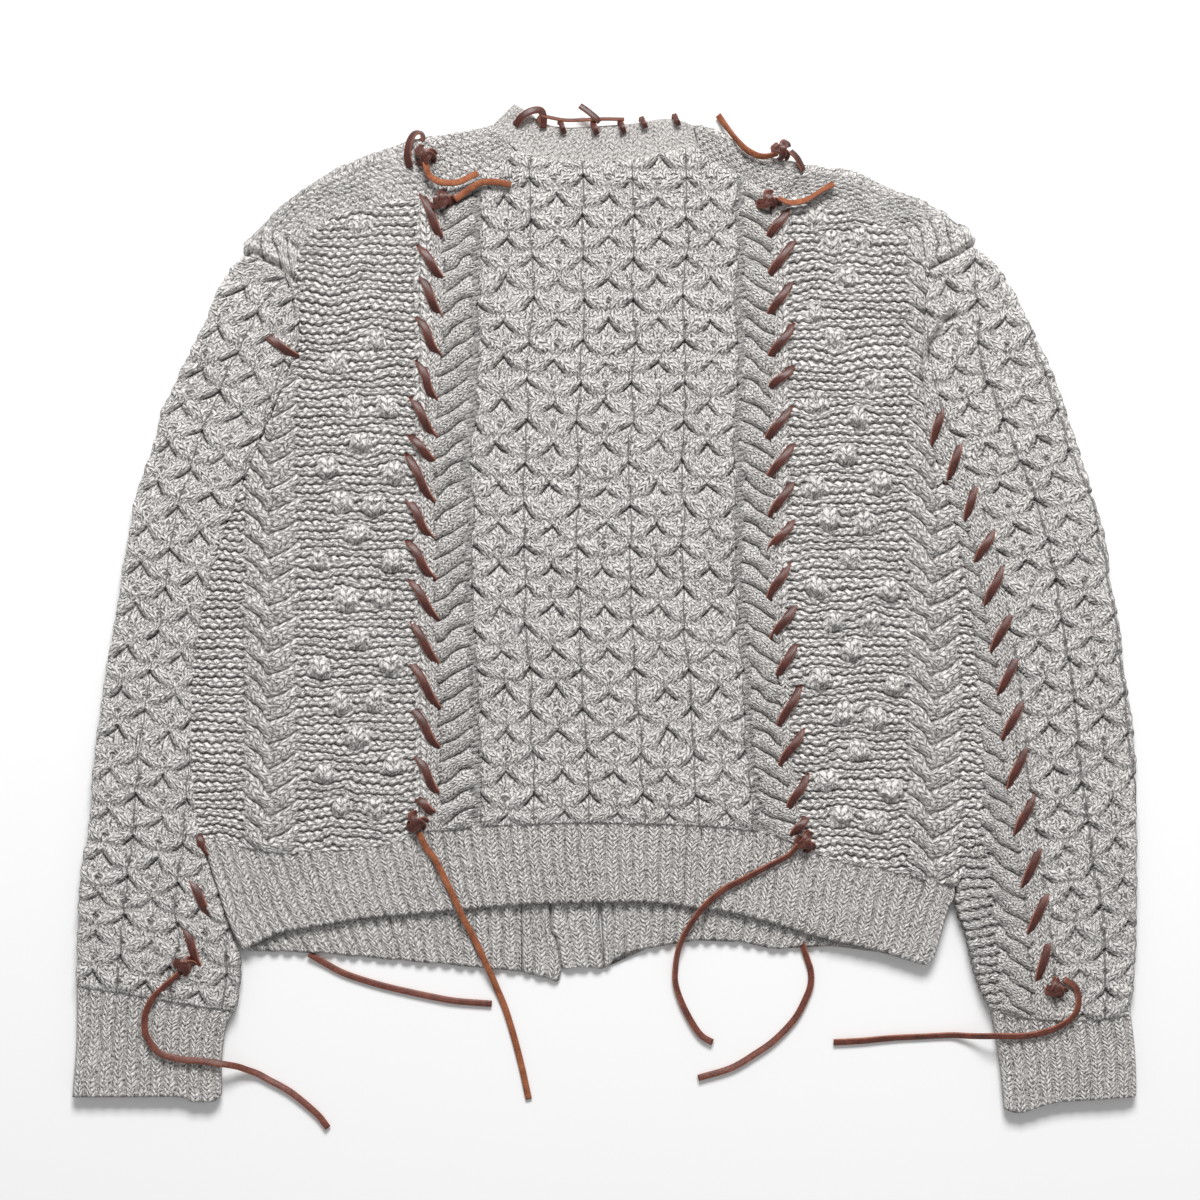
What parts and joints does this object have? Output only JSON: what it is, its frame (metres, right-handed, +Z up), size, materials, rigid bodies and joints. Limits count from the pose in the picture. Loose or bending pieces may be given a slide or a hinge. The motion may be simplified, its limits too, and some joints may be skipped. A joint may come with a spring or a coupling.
{
  "type": "cable knit cardigan laid flat",
  "caption": "Boxy heavy cable knit cardigan lying flat with its back up, its panels laced together with flat leather lace.",
  "frame": {"origin": "middle of the footprint of the garment without its free lace ends, on the surface that it lies on", "axes": "+X from the wearer's left to the right, +Y from the hem to the neck, +Z up out of the back"},
  "size_m": [0.7449, 0.719, 0.0205],
  "materials": {
    "cable_knit": "grey marl wool, cable and honeycomb stitch",
    "bobble_knit": "grey marl wool, garter ground with bobbles and rope cables",
    "rib_knit": "grey marl wool, one-by-one rib",
    "lace_leather": "oiled brown grain side of the lace",
    "lace_suede": "tan flesh side and cut edges of the lace"
  },
  "bodies": {
    "root": {"back_centre": "cable_knit", "back_side_left": "bobble_knit", "back_side_right": "bobble_knit", "back_hem_rib": "rib_knit", "front_left": "cable_knit", "front_right": "cable_knit", "front_hem_left": "rib_knit", "front_hem_right": "rib_knit", "front_band_left": "rib_knit", "front_band_right": "rib_knit", "neckband": "rib_knit", "neckband_front_left": "rib_knit", "neckband_front_right": "rib_knit", "shoulder_left": "cable_knit", "shoulder_right": "cable_knit", "sleeve_left": "cable_knit", "sleeve_right": "cable_knit", "cuff_left": "rib_knit", "cuff_right": "rib_knit", "lacing_back_left": "lace_leather", "lacing_back_right": "lace_leather", "lacing_sleeve_left": "lace_leather", "lacing_sleeve_left_top": "lace_leather", "lacing_sleeve_right": "lace_leather", "lacing_neck": "lace_leather", "lace_end_neck": "lace_leather", "loop_shoulder_left": "lace_leather", "loop_shoulder_right": "lace_leather", "knot_back_left": "lace_leather", "knot_back_right": "lace_leather", "knot_shoulder_left": "lace_leather", "knot_shoulder_right": "lace_leather", "knot_sleeve_left": "lace_leather", "knot_sleeve_right": "lace_leather", "knot_yoke_left": "lace_leather", "knot_yoke_right": "lace_leather", "tail_back_left": "lace_suede", "tail_back_right": "lace_leather", "tail_front_left": "lace_leather", "tail_front_right": "lace_leather", "tail_shoulder_left": "lace_leather", "tail_shoulder_right": "lace_leather", "tail_sleeve_left": "lace_leather", "tail_sleeve_right": "lace_leather", "tail_yoke_left": "lace_leather", "tail_yoke_right": "lace_leather"}
  },
  "joints": []
}
